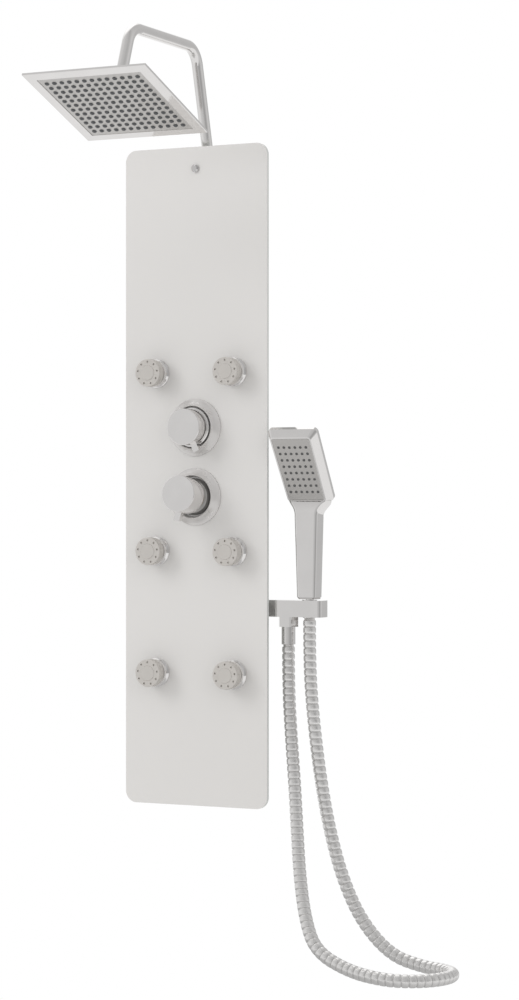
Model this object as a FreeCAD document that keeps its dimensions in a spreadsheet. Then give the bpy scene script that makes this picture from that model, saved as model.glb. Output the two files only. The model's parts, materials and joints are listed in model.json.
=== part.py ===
import FreeCAD, Part
import math
import os
import Sketcher
from FreeCAD import Placement, Rotation, Vector

# A wall-hung shower panel: a glass front on a shallow housing, an overhead rain head on a bent
# arm, two controls, six swivelling body jets and a handset on a hose.
# Frame: +Z up, the front looks along -Y, the wall is the plane Y = 0, X = 0 is the panel's middle,
# and the origin is the centre of the four wall screws.

doc = FreeCAD.newDocument("ShowerPanel")
sheet = doc.addObject("Spreadsheet::Sheet", "Sizes")

SIZES = {
    # glass front
    "panel_width": 242, "panel_height": 1000, "panel_corner": 18, "panel_front": 60, "glass_thick": 6,
    # housing behind the glass, open towards the wall
    "housing_width": 176, "housing_height": 940, "housing_back": 2, "sheet_thick": 2,
    # wall brackets and the hooks that drop over them
    "screw_spacing_x": 90, "screw_spacing_z": 700, "screw_hole": 6, "bracket_length": 168,
    "hook_length": 26, "hook_gauge": 3,
    # stud near the top
    "stud_height": 467, "stud_radius": 6, "stud_proud": 5,
    # overhead arm, drawn in the plane X = 0
    "arm_tube": 17, "arm_root_back": 17, "arm_root_height": 458, "arm_knee_height": 486,
    "arm_lean": 15, "arm_top_height": 650, "arm_reach": 261, "arm_bend": 35,
    # rain head, measured down the arm's end leg
    "head_tilt": 20.6, "head_drop": 127, "head_size": 200, "plate_size": 168, "head_edge": 4,
    "head_roof": 9, "ball_radius": 9.5, "ball_height": 22, "arm_end": 38.5,
    "field_across": 147.7, "field_along": 144, "nozzle_columns": 13, "nozzle_rows": 12,
    "nozzle_radius": 3, "nozzle_proud": 1.6,
    # body jets
    "jet_spacing": 132, "jet_row_top": 157, "jet_row_middle": -114, "jet_row_bottom": -299,
    "jet_flange": 21.8, "jet_height": 10.5, "jet_stem": 16, "jet_face": 21, "jet_reach": 31.6,
    "jet_ball": 13, "jet_pivot": 5, "jet_hole_circle": 16.7, "jet_hole": 1.7, "jet_pipe_back": 18,
    # controls
    "mixer_height": -31, "diverter_height": 74, "flange_radius": 43.3, "flange_mouth": 31.5,
    "flange_depth": 13, "knob_radius": 27.5, "mixer_reach": 57, "mixer_tilt": 6, "mixer_pivot": 14,
    "diverter_reach": 40.5, "diverter_skirt": 11.2, "tab_reach": 40.5, "tab_width": 10,
    "mixer_tab_turn": 14, "diverter_tab_turn": 25,
    # water ways inside the housing
    "valve_radius": 20, "sleeve_radius": 18, "valve_back": 8, "inlet_spacing": 56, "inlet_thread": 20.955,
    "water_back": 28, "link_radius": 7, "riser_radius": 7, "jet_pipe_radius": 5, "feed_x": 46,
    "feed_back": 34, "feed_radius": 5,
    # handset bracket, with the water outlet and the holder
    "holder_x": 176.5, "outlet_x": 141.4, "bar_end": 201.3, "bar_height": 25, "bar_depth": 29,
    "bar_corner": 5.5, "bar_level": -199, "holder_back": 28.5, "seat_top": 11.7, "seat_bottom": 10.6,
    # handset
    "face_back": 67, "face_level": 9, "handset_lean": 32.9, "face_length": 107,
    "face_width_top": 62, "face_width_bottom": 58, "face_rim": 2.6, "head_width": 81,
    "spray_across": 9, "spray_along": 11.15, "grip_top": -62, "grip_bottom": -184.6,
    # hose
    "hose_crest": 9.4, "hose_root": 7.9, "hose_bore": 4.5, "hose_ribs": 130,
    "nut_flats": 28.2, "nut_bottom": -226.5, "ferrule_bottom": -253, "cone_bottom": -212.5,
}
for row, (alias, value) in enumerate(SIZES.items(), start=1):
    sheet.set(f"A{row}", alias)
    sheet.set(f"B{row}", str(value))
    sheet.setAlias(f"B{row}", alias)
doc.recompute()

nodes = {}


def size(alias):
    """One value of the sheet, in millimetres or degrees."""
    return float(sheet.get(alias))


def keep(thing, label):
    """Name a finished piece: its label names its file."""
    thing.Label = label
    nodes[label] = thing
    return thing


def bind(thing, **expressions):
    for prop, expression in expressions.items():
        thing.setExpression(prop, expression)
    return thing


def place(thing, x="0", y="0", z="0"):
    """Put a piece where three expressions of the sheet say."""
    for corner, text in zip("xyz", (x, y, z)):
        if text != "0":
            thing.setExpression("Placement.Base." + corner, text)
    return thing


def turned(name, axis, profile, x="0", y="0", z="0"):
    """A turned piece: a closed profile of (radius, height) expressions, revolved about Y or Z. A third
    value is the radius of an arc to the next point: positive turns left on the way, negative right."""
    body = doc.addObject("PartDesign::Body", name)
    plane = {"Y": "XY_Plane", "Z": "XZ_Plane"}[axis]
    sketch = body.newObject("Sketcher::SketchObject", name + "_profile")
    sketch.AttachmentSupport = [(o, "") for o in body.Origin.OriginFeatures if o.Role == plane]
    sketch.MapMode = "FlatFace"
    corners = [Vector(*(float(sheet.evalExpression(text)) for text in point[:2]), 0) for point in profile]
    count = len(corners)
    first_end = []
    for i, point in enumerate(profile):
        start, end = corners[i], corners[(i + 1) % count]
        if len(point) == 2:
            sketch.addGeometry(Part.LineSegment(start, end), False)
            first_end.append((1, 2))
            continue
        bend = float(sheet.evalExpression(point[2]))
        chord = end - start
        left = Vector(-chord.y, chord.x, 0).normalize() * math.copysign(1, bend)
        centre = (start + end) * 0.5 + left * math.sqrt(bend ** 2 - (chord.Length / 2) ** 2)
        angles = [math.atan2(corner.y - centre.y, corner.x - centre.x) for corner in (start, end)]
        if bend < 0:
            angles.reverse()
        circle = Part.Circle(centre, Vector(0, 0, 1), abs(bend))
        sketch.addGeometry(Part.ArcOfCircle(circle, *angles), False)
        first_end.append((1, 2) if bend > 0 else (2, 1))
    for i in range(count):
        after = (i + 1) % count
        sketch.addConstraint(Sketcher.Constraint("Coincident", i, first_end[i][1], after, first_end[after][0]))
    for i, (corner, point) in enumerate(zip(corners, profile)):
        for kind, axis_line, value, text in (("DistanceX", -2, corner.x, point[0]),
                                             ("DistanceY", -1, corner.y, point[1])):
            if abs(value) < 1e-9:
                sketch.addConstraint(Sketcher.Constraint("PointOnObject", i, first_end[i][0], axis_line))
                continue
            index = sketch.addConstraint(Sketcher.Constraint(kind, -1, 1, i, first_end[i][0], value))
            sketch.setExpression(f"Constraints[{index}]", text)
        if len(point) == 3:
            value = abs(float(sheet.evalExpression(point[2])))
            index = sketch.addConstraint(Sketcher.Constraint("Radius", i, value))
            sketch.setExpression(f"Constraints[{index}]", f"abs({point[2]})")
    revolution = body.newObject("PartDesign::Revolution", name + "_turned")
    revolution.Profile = sketch
    revolution.ReferenceAxis = (sketch, ["V_Axis"])
    revolution.Angle = 360
    return place(body, x, y, z)


def box(name, x, y, z):
    """A block between pairs of expressions along each axis."""
    block = doc.addObject("Part::Box", name)
    for prop, corner, (low, high) in (("Length", "x", x), ("Width", "y", y), ("Height", "z", z)):
        block.setExpression(prop, f"({high}) - ({low})")
        block.setExpression("Placement.Base." + corner, low)
    return block


def rod(name, radius, length, x="0", y="0", z="0", along="Z"):
    """A plain cylinder that starts at a point and runs along an axis."""
    cylinder = doc.addObject("Part::Cylinder", name)
    cylinder.Placement.Rotation = {
        "X": Rotation(Vector(0, 1, 0), 90), "Y": Rotation(Vector(1, 0, 0), -90), "Z": Rotation(),
    }[along]
    bind(cylinder, Radius=radius, Height=length)
    return place(cylinder, x, y, z)


def hexagon(name, half_flats, length, x="0", y="0", z="0", along="Z"):
    """A hexagonal bar, flats half_flats from its axis."""
    prism = doc.addObject("Part::Prism", name)
    prism.Polygon = 6
    prism.Placement.Rotation = {
        "X": Rotation(Vector(0, 1, 0), 90), "Y": Rotation(Vector(1, 0, 0), -90), "Z": Rotation(),
    }[along]
    bind(prism, Circumradius=f"({half_flats}) / cos(30)", Height=length)
    return place(prism, x, y, z)


def fused(name, *shapes):
    union = doc.addObject("Part::MultiFuse", name)
    union.Shapes = list(shapes)
    return union


def cut(name, base, *tools):
    tool = tools[0] if len(tools) == 1 else fused(name + "_tools", *tools)
    difference = doc.addObject("Part::Cut", name)
    difference.Base = base
    difference.Tool = tool
    return difference


def shaped(label, shape, placement=None):
    """A piece whose form comes from a path or a loft."""
    feature = doc.addObject("Part::Feature", label)
    feature.Shape = shape
    if placement:
        feature.Placement = placement
    return keep(feature, label)


FRONT = "-Sizes.panel_front"
GLASS_BACK = "-Sizes.panel_front + Sizes.glass_thick"
WEB_BACK = "-Sizes.panel_front + Sizes.glass_thick + Sizes.sheet_thick"
JET_ROWS = ("Sizes.jet_row_top", "Sizes.jet_row_middle", "Sizes.jet_row_bottom")
JETS = [(side + "Sizes.jet_spacing / 2", row) for row in JET_ROWS for side in ("-", "")]

# ---------------------------------------------------------------- glass front and housing

glass_block = box("glass_block", ("-Sizes.panel_width / 2", "Sizes.panel_width / 2"), (FRONT, GLASS_BACK),
                  ("-Sizes.panel_height / 2", "Sizes.panel_height / 2"))
doc.recompute()
corner_edges = [i + 1 for i, e in enumerate(glass_block.Shape.Edges) if abs(e.tangentAt(0).y) > 0.99]
glass_outline = doc.addObject("Part::Fillet", "glass_outline")
glass_outline.Base = glass_block
glass_outline.Edges = [(i, size("panel_corner"), size("panel_corner")) for i in corner_edges]

housing_outside = box("housing_outside", ("-Sizes.housing_width / 2", "Sizes.housing_width / 2"),
                      (GLASS_BACK, "-Sizes.housing_back"),
                      ("-Sizes.housing_height / 2", "Sizes.housing_height / 2"))
housing_inside = box(
    "housing_inside",
    ("-Sizes.housing_width / 2 + Sizes.sheet_thick", "Sizes.housing_width / 2 - Sizes.sheet_thick"),
    (WEB_BACK, "1"),
    ("-Sizes.housing_height / 2 - 1", "Sizes.housing_height / 2 - Sizes.sheet_thick"))


def front_holes(name, start, jet_radius, valve_radius, stud_radius):
    """The holes that the jets, the two valves and the stud need through a sheet, as one tool."""
    drills = [rod(f"{name}_jet{i}", jet_radius, "10", x, start, z, "Y") for i, (x, z) in enumerate(JETS)]
    for valve in ("mixer", "diverter"):
        drills.append(rod(f"{name}_{valve}", valve_radius, "10", "0", start, f"Sizes.{valve}_height", "Y"))
    drills.append(rod(f"{name}_stud", stud_radius, "10", "0", start, "Sizes.stud_height", "Y"))
    return drills


keep(cut("glass", glass_outline,
         *front_holes("glass_hole", FRONT + " - 2", "Sizes.jet_stem + 0.4", "Sizes.sleeve_radius + 1", "3.2")),
     "glass_panel")
keep(cut("housing", housing_outside, housing_inside,
         rod("arm_hole", "10.8", "8", "0", "-Sizes.arm_root_back", "Sizes.housing_height / 2 - 5"),
         rod("outlet_hole", "7.4", "8", "Sizes.housing_width / 2 - 5", "-Sizes.feed_back",
             "Sizes.bar_level", "X"),
         *front_holes("web_hole", GLASS_BACK + " - 2", "Sizes.jet_stem + 0.4", "Sizes.sleeve_radius + 1", "3.2")),
     "back_housing")

# The stud is a turned button with a shank through the glass and the housing's web.
keep(turned("stud", "Y", [("0", "-Sizes.stud_proud"), ("Sizes.stud_radius - 2", "-Sizes.stud_proud"),
                          ("Sizes.stud_radius", "-Sizes.stud_proud + 2"), ("Sizes.stud_radius", "0"),
                          ("3", "0"), ("3", "10"), ("0", "10")],
            y=FRONT, z="Sizes.stud_height"), "fixing_stud")

# ---------------------------------------------------------------- wall brackets and hooks


def wall_bracket(label, sign):
    """A strip screwed to the wall, with an upturned hook at each end."""
    level = f"{sign}Sizes.screw_spacing_z / 2"
    half = "Sizes.bracket_length / 2"
    pieces = [box(label + "_strip", ("-" + half, half), ("-Sizes.hook_gauge", "0"),
                  (level + " - 12", level + " + 30"))]
    for side, (low, high) in {"left": ("-" + half, "-" + half + " + Sizes.hook_length"),
                              "right": (half + " - Sizes.hook_length", half)}.items():
        pieces.append(box(f"{label}_{side}_shelf", (low, high), ("-14", "-Sizes.hook_gauge + 1"),
                          (level + " + 27", level + " + 30")))
        pieces.append(box(f"{label}_{side}_upturn", (low, high), ("-14", "-14 + Sizes.hook_gauge"),
                          (level + " + 29", level + " + 38")))
    holes = [rod(f"{label}_hole{side}", "Sizes.screw_hole / 2", "8", f"{side}Sizes.screw_spacing_x / 2",
                 "-6", level, "Y") for side in ("-", "")]
    keep(cut(label, fused(label + "_blank", *pieces), *holes), label)


wall_bracket("wall_bracket_upper", "")
wall_bracket("wall_bracket_lower", "-")

hooks = []
inner_wall = "Sizes.housing_width / 2 - Sizes.sheet_thick"
for level_name, level in (("upper", "Sizes.screw_spacing_z / 2"), ("lower", "-Sizes.screw_spacing_z / 2")):
    for side, (low, high) in {"left": ("-(" + inner_wall + ")", "-(" + inner_wall + ") + 24"),
                              "right": (inner_wall + " - 24", inner_wall)}.items():
        name = f"hook_{level_name}_{side}"
        hooks.append(fused(
            name,
            box(name + "_front", (low, high), ("-22", "-19"), (level + " + 20", level + " + 43")),
            box(name + "_top", (low, high), ("-22", "-6"), (level + " + 40", level + " + 43")),
            box(name + "_tongue", (low, high), ("-9", "-6"), (level + " + 31", level + " + 41"))))
hook_group = doc.addObject("Part::Compound", "hooks")
hook_group.Links = hooks
keep(hook_group, "hanger_hooks")

# ---------------------------------------------------------------- paths


def rounded_route(points, radius=None):
    """Straight runs joined by tangent arcs. With no radius given, each arc is as large as its runs
    allow: 0.45 of the shorter run over the tangent of half the turn."""
    edges, radii, position = [], [], points[0]
    for before, corner, after in zip(points, points[1:], points[2:]):
        back, ahead = before - corner, after - corner
        shorter = min(back.Length, ahead.Length)
        back.normalize()
        ahead.normalize()
        half_turn = (math.pi - back.getAngle(ahead)) / 2
        bend = radius or 0.45 * shorter / math.tan(half_turn)
        start, end = corner + back * (bend * math.tan(half_turn)), corner + ahead * (bend * math.tan(half_turn))
        inward = back + ahead
        inward.normalize()
        middle = corner + inward * (bend / math.cos(half_turn) - bend)
        edges += [Part.LineSegment(position, start).toShape(), Part.Arc(start, middle, end).toShape()]
        radii.append(bend)
        position = end
    edges.append(Part.LineSegment(position, points[-1]).toShape())
    return edges, radii


def tube_along(points, outer, bend):
    """A round bar along straight runs and bends of one radius."""
    edges, _ = rounded_route(points, bend)
    start = Part.Wire([Part.Circle(points[0], points[1] - points[0], outer).toShape()])
    return Part.Wire(edges).makePipeShell([start], True, False)


# ---------------------------------------------------------------- overhead arm

lean = math.radians(size("arm_lean"))
tilt = math.radians(size("head_tilt"))
arm_back = -size("arm_root_back")
knee = Vector(0, arm_back, size("arm_knee_height"))
rear_corner = Vector(0, arm_back - (size("arm_top_height") - knee.z) * math.tan(lean), size("arm_top_height"))
front_corner = Vector(0, -size("arm_reach"), size("arm_top_height"))
down_leg = Vector(0, -math.sin(tilt), -math.cos(tilt))
head_centre = front_corner + down_leg * size("head_drop")
arm_route = [Vector(0, arm_back, size("arm_root_height")), knee, rear_corner, front_corner,
             head_centre - down_leg * size("arm_end")]
shaped("shower_arm", tube_along(arm_route, size("arm_tube") / 2, size("arm_bend")))

# The nipple passes through the housing's top and takes the arm's root.
TOP = "Sizes.housing_height / 2"
keep(turned("nipple", "Z", [("Sizes.arm_tube / 2 + 0.02", TOP + " - 12"), ("7.1", TOP + " - 12"),
                            ("7.1", TOP + " - 24"), ("10.5", TOP + " - 24"), ("10.5", TOP),
                            ("13.5", TOP), ("13.5", TOP + " + 3"), ("11.5", TOP + " + 8"),
                            ("Sizes.arm_tube / 2 + 0.02", TOP + " + 8")],
            y="-Sizes.arm_root_back"), "arm_nipple")
keep(cut("arm_nut", hexagon("arm_nut_blank", "13.5", "6", "0", "-Sizes.arm_root_back", TOP + " - 8"),
         rod("arm_nut_bore", "10.52", "8", "0", "-Sizes.arm_root_back", TOP + " - 9")), "arm_locknut")

# ---------------------------------------------------------------- rain head
# Local heights are measured from the head's face up the arm's end leg.

head_placement = Placement(head_centre, Rotation(Vector(1, 0, 0), -size("head_tilt")))


def on_head(thing):
    thing.Placement = head_placement
    return thing


def square(half, height):
    corners = [Vector(sx * half, sy * half, height) for sx, sy in ((-1, -1), (1, -1), (1, 1), (-1, 1))]
    return Part.makePolygon(corners + [corners[0]])


half_head, half_plate = size("head_size") / 2, size("plate_size") / 2
roof = Part.makeLoft([square(half_head - 1, 0), square(half_head, 1), square(half_head, size("head_edge")),
                      square(34, size("head_roof") - 1), square(20, size("head_roof"))], True, True)
plate_pocket = Part.makeBox(2 * half_plate + 0.6, 2 * half_plate + 0.6, 4,
                            Vector(-half_plate - 0.3, -half_plate - 0.3, -1))
shaped("head_shell", roof.cut(plate_pocket), head_placement)

plate = Part.makeLoft([square(half_plate - 0.8, 0.2), square(half_plate, 1), square(half_plate, 3)], True, True)
shaped("head_face_plate", plate, head_placement)


def nub(centre, out, across, radius, proud):
    """A soft spray nozzle: a low six-sided cone on a face."""
    side = out.cross(across)
    ring = [centre + across * (radius * math.cos(k * math.pi / 3)) + side * (radius * math.sin(k * math.pi / 3))
            for k in range(6)]
    tip = centre + out * proud
    faces = [Part.Face(Part.makePolygon([a, b, tip, a])) for a, b in zip(ring, ring[1:] + ring[:1])]
    faces.append(Part.Face(Part.makePolygon(ring + [ring[0]])))
    return Part.makeSolid(Part.makeShell(faces))


def spray_field(columns, rows, across, along, height, out, radius, proud):
    """Rows of nozzles on a flat face, each cone a separate solid."""
    nubs = []
    for i in range(columns):
        for j in range(rows):
            centre = Vector((i - (columns - 1) / 2) * across, (j - (rows - 1) / 2) * along, height)
            nubs.append(nub(centre, out, Vector(1, 0, 0), radius, proud))
    return Part.makeCompound(nubs)


columns, rows = int(size("nozzle_columns")), int(size("nozzle_rows"))
shaped("head_nozzles",
       spray_field(columns, rows, size("field_across") / (columns - 1), size("field_along") / (rows - 1),
                   0.2, Vector(0, 0, -1), size("nozzle_radius"), size("nozzle_proud")), head_placement)

# The ball turns in the union nut, the seat rocks on the ball and the collar carries the head.
BALL = "Sizes.ball_height"
ARM_END = "Sizes.arm_end"
keep(on_head(turned("ball", "Z", [
    ("0", BALL + " - 9.4"), ("4", BALL + " - 8.6"), ("7.6", BALL + " - 5.7"), ("Sizes.ball_radius", BALL),
    ("8", BALL + " + 5.1"), ("6", BALL + " + 7.3"), ("6", ARM_END + " - 4.6"), ("8.5", ARM_END + " - 4.6"),
    ("8.5", ARM_END + " - 0.5"), ("0", ARM_END + " - 0.5")])), "head_ball")
keep(on_head(turned("seat", "Z", [
    ("9.9", BALL + " + 0.5"), ("11", BALL + " + 0.5"), ("10.9", BALL + " - 2"), ("9.3", BALL + " - 6"),
    ("8.3", BALL + " - 5.6"), ("9.9", BALL + " - 1.5")])), "ball_seat")
ROOF = "Sizes.head_roof"
keep(on_head(turned("collar", "Z", [
    ("0", ROOF), ("16", ROOF), ("17", ROOF + " + 1"), ("15.5", BALL + " + 1"), ("12.5", BALL + " + 4.6"),
    ("9.2", BALL + " + 4.6"), ("9.2", BALL + " + 3.7"), ("11.4", BALL + " + 3.4"), ("12", BALL),
    ("11", BALL + " - 5.2"), ("8", BALL + " - 8.8"), ("0", BALL + " - 10.2")])), "head_collar")
keep(on_head(cut("union_nut", hexagon("union_blank", "13", "20", z=ARM_END + " - 6.5"), turned("union_bore", "Z", [
    ("0", ARM_END + " - 7"), ("6.3", ARM_END + " - 7"), ("6.3", ARM_END + " - 5"), ("8.8", ARM_END + " - 5"),
    ("8.8", ARM_END), ("Sizes.arm_tube / 2", ARM_END), ("Sizes.arm_tube / 2", ARM_END + " + 14"),
    ("0", ARM_END + " + 14")]))), "head_union_nut")

# ---------------------------------------------------------------- body jets
# Heights are measured from the front of the glass, positive towards the wall.

jet_pipes, jet_nuts = [], []
for i, (x, z) in enumerate(JETS):
    number = i + 1
    pivot = "-Sizes.jet_pivot"
    bowl = "Sizes.jet_ball + 0.4"
    lip = "-Sizes.jet_height"
    lip_mouth = f"sqrt(({bowl}) ^ 2 - (Sizes.jet_height - Sizes.jet_pivot) ^ 2)"
    keep(turned(f"ring{number}", "Y", [
        ("Sizes.jet_flange", "0"), ("Sizes.jet_stem", "0"), ("Sizes.jet_stem", "14"), ("8", "14"), ("8", "22"),
        ("5", "22"), ("5", "12"), (bowl, "12"), (bowl, pivot, "-(" + bowl + ")"), (lip_mouth, lip),
        ("Sizes.jet_flange - 4", lip, "-9"), ("Sizes.jet_flange", lip + " + 7")], x, FRONT, z), f"jet_ring_{number}")
    keep(turned(f"seal{number}", "Y", [
        ("6.5", "7.2"), ("9", "6.2"), ("10", "6.2"), ("10", "8.5"), ("6.5", "8.5")], x, FRONT, z),
         f"jet_seal_{number}")
    face = "-Sizes.jet_reach"
    drum = turned(f"drum{number}", "Y", [
        ("0", pivot + " + 12.8"), ("7.6", pivot + " + 10.4"), ("12.4", pivot + " + 4"), ("12.4", pivot + " - 4"),
        ("9", pivot + " - 9.4"), ("9", face + " + 15"), ("Sizes.jet_face - 1.5", face + " + 15"),
        ("Sizes.jet_face", face + " + 13.5"), ("Sizes.jet_face", face + " + 1", "-1"), ("Sizes.jet_face - 1", face),
        ("11.5", face), ("11", face + " - 0.8"), ("0", face + " - 0.8")])
    spray_holes = []
    for k in range(9):
        angle = f"90 + {k} * 40"
        hole = doc.addObject("Part::Prism", f"spray{number}_{k}")
        hole.Polygon = 6
        hole.Placement.Rotation = Rotation(Vector(1, 0, 0), -90)
        bind(hole, Circumradius="Sizes.jet_hole", Height="3")
        place(hole, f"Sizes.jet_hole_circle * cos({angle})", face + " - 1", f"Sizes.jet_hole_circle * sin({angle})")
        spray_holes.append(hole)
    keep(place(cut(f"jet_head{number}", drum, *spray_holes), x, FRONT, z), f"jet_head_{number}")
    nut = hexagon(f"jet_nut{number}_blank", "18.5", "5", x, WEB_BACK, z, "Y")
    nut.Placement.Rotation = Rotation(Vector(0, 1, 0), 30).multiply(nut.Placement.Rotation)
    jet_nuts.append(cut(f"jet_nut{number}", nut,
                        rod(f"jet_nut{number}_bore", "Sizes.jet_stem + 0.05", "7", x, WEB_BACK + " - 1", z, "Y")))
    jet_pipes.append(rod(f"jet_tee{number}", "8", "Sizes.panel_front - 22 - Sizes.jet_pipe_back", x,
                         FRONT + " + 22", z, "Y"))
nut_group = doc.addObject("Part::Compound", "jet_nuts")
nut_group.Links = jet_nuts
keep(nut_group, "jet_backnuts")

# Two uprights feed the jets, each from a crossover out of the diverter's sides.
DIVERTER = "Sizes.diverter_height"
for side, (low, high) in {"left": ("-Sizes.jet_spacing / 2", "-30"), "right": ("30", "Sizes.jet_spacing / 2")}.items():
    x = ("-" if side == "left" else "") + "Sizes.jet_spacing / 2"
    jet_pipes.append(rod(f"jet_upright_{side}", "Sizes.jet_pipe_radius",
                         "Sizes.jet_row_top - Sizes.jet_row_bottom + 12", x, "-Sizes.jet_pipe_back",
                         "Sizes.jet_row_bottom - 6"))
    jet_pipes.append(rod(f"crossover_{side}", "Sizes.jet_pipe_radius", f"({high}) - ({low})", low,
                         "-Sizes.jet_pipe_back", DIVERTER, "X"))
keep(fused("jet_pipework", *jet_pipes), "jet_pipes")

# ---------------------------------------------------------------- controls

WATER = "-Sizes.water_back"
INLET = "Sizes.inlet_spacing / 2"
MIXER = "Sizes.mixer_height"


def valve_body(name, level, *ports):
    """A cast body behind the glass, with a sleeve that comes through it, bored for its spindle."""
    casting = fused(name + "_casting",
                    rod(name + "_barrel", "Sizes.valve_radius", "-Sizes.valve_back - (" + WEB_BACK + ")",
                        "0", WEB_BACK, level, "Y"),
                    rod(name + "_sleeve", "Sizes.sleeve_radius", "20", "0", FRONT + " - 6", level, "Y"), *ports)
    return cut(name, casting, rod(name + "_bore", "10.05", "21", "0", FRONT + " - 6.5", level, "Y"))


keep(valve_body("mixer_casting", MIXER,
                rod("mixer_cross", "Sizes.inlet_thread / 2 + 1", "Sizes.inlet_spacing", "-" + INLET, WATER, MIXER, "X"),
                rod("mixer_leg_hot", "Sizes.inlet_thread / 2 + 1", "30", "-" + INLET, WATER, MIXER + " - 30"),
                rod("mixer_leg_cold", "Sizes.inlet_thread / 2 + 1", "30", INLET, WATER, MIXER + " - 30"),
                rod("mixer_outlet", "9", "26", "-8", WATER, MIXER)), "mixer_valve_body")
keep(valve_body("diverter_casting", DIVERTER,
                rod("diverter_side_ports", "8", "60", "-30", "-Sizes.jet_pipe_back", DIVERTER, "X"),
                rod("diverter_top_port", "9", "26", "0", "-Sizes.arm_root_back", DIVERTER),
                rod("diverter_inlet", "9", "26", "-8", WATER, DIVERTER + " - 26"),
                rod("diverter_feed_port", "6.5", "26", "13", "-Sizes.feed_back", DIVERTER + " - 26")),
     "diverter_valve_body")
for label, x in (("hot_inlet", "-" + INLET), ("cold_inlet", INLET)):
    keep(rod(label + "_nipple", "Sizes.inlet_thread / 2", "15", x, WATER, MIXER + " - 45"), label)
keep(rod("link_pipe", "Sizes.link_radius", "Sizes.diverter_height - Sizes.mixer_height - 52", "-8", WATER,
         MIXER + " + 26"), "mixer_link_pipe")
keep(rod("riser", "Sizes.riser_radius", TOP + " - 12 - Sizes.diverter_height - 26", "0", "-Sizes.arm_root_back",
         DIVERTER + " + 26"), "riser_pipe")

for control, socket_mouth in (("mixer", "20"), ("diverter", "7.4")):
    level = f"Sizes.{control}_height"
    # A dished escutcheon: a domed rim round a sunk well.
    keep(turned(control + "_dish", "Y", [
        ("Sizes.flange_radius", "0"), ("Sizes.sleeve_radius + 0.1", "0"), ("Sizes.sleeve_radius + 0.1", "-3"),
        ("Sizes.flange_mouth - 1.5", "-3"), ("Sizes.flange_mouth", "-Sizes.flange_depth + 1.5"),
        ("Sizes.flange_mouth + 1", "-Sizes.flange_depth", "-20"), ("Sizes.flange_radius", "-2.5")],
        y=FRONT, z=level), control + "_flange")
    keep(turned(control + "_cap", "Y", [
        ("Sizes.sleeve_radius + 0.1", "-3"), ("Sizes.sleeve_radius + 0.1", "-6"), (socket_mouth, "-6"),
        (socket_mouth, "-10.5"), ("24", "-10.5"), ("28", "-7"), ("28", "-3")], y=FRONT, z=level),
         control + "_socket")


def tab_lever(name, start, turn):
    """A flat lever that stands out of a knob's edge, its front face sloped at the tip. A turn of 0
    points it straight down."""
    tab = doc.addObject("Part::Wedge", name)
    tab.Placement.Rotation = Rotation(Vector(0, 1, 0), turn)
    bind(tab, Xmin="-Sizes.tab_width / 2", Xmax="Sizes.tab_width / 2", Ymin=start, Ymax=start + " + 8",
         Zmin="-Sizes.tab_reach", Zmax="-Sizes.knob_radius + 2", X2min="-Sizes.tab_width / 2",
         X2max="Sizes.tab_width / 2", Z2min="-Sizes.tab_reach + 2", Z2max="-Sizes.knob_radius + 2")
    return tab


# The diverter turns on its stem. Its lever stands at five o'clock.
keep(turned("diverter_stem", "Y", [("0", "14"), ("10", "14"), ("10", "-2"), ("7", "-2"), ("7", "-32"), ("0", "-32")],
            y=FRONT, z=DIVERTER), "diverter_spindle")
diverter_knob = fused(
    "diverter_handle",
    turned("diverter_cap_knob", "Y", [
        ("7", "-Sizes.diverter_skirt"), ("25", "-Sizes.diverter_skirt"),
        ("Sizes.knob_radius", "-Sizes.diverter_skirt - 2.5"),
        ("Sizes.knob_radius", "-Sizes.diverter_reach + 1", "-1"), ("Sizes.knob_radius - 1", "-Sizes.diverter_reach"),
        ("0", "-Sizes.diverter_reach"), ("0", "-32"), ("7", "-32")]),
    tab_lever("diverter_tab", "-30", -size("diverter_tab_turn")))
keep(place(diverter_knob, "0", FRONT, DIVERTER), "diverter_knob")

# The mixer's stem turns, and its knob tilts on a pin across the stem. Heights from the pin.
PIVOT = FRONT + " - Sizes.mixer_pivot"
mixer_stem = fused("mixer_stem",
                   turned("mixer_post", "Y", [("0", "28"), ("10", "28"), ("10", "12"), ("5.5", "12"), ("5.5", "-4"),
                                              ("0", "-4")]),
                   rod("mixer_pin", "2", "29", x="-14.5", along="X"))
keep(place(mixer_stem, "0", PIVOT, MIXER), "mixer_spindle")
reach = "(Sizes.mixer_pivot - Sizes.mixer_reach)"
mixer_knob = cut(
    "mixer_handle",
    fused("mixer_handle_blank",
          turned("mixer_cap_knob", "Y", [
              ("12", "1"), ("15", "1"), ("15", "-9"), ("25", "-9"), ("Sizes.knob_radius", "-11.5"),
              ("Sizes.knob_radius", reach + " + 1", "-1"), ("Sizes.knob_radius - 1", reach), ("0", reach), ("0", "-20"),
              ("12", "-20")]),
          tab_lever("mixer_tab", "-26", size("mixer_tab_turn"))),
    rod("mixer_pin_hole", "2.05", "34", x="-17", along="X"))
mixer_knob.Placement.Rotation = Rotation(Vector(1, 0, 0), -size("mixer_tilt"))
keep(place(mixer_knob, "0", PIVOT, MIXER), "mixer_knob")

# ---------------------------------------------------------------- handset bracket and its feed

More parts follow.
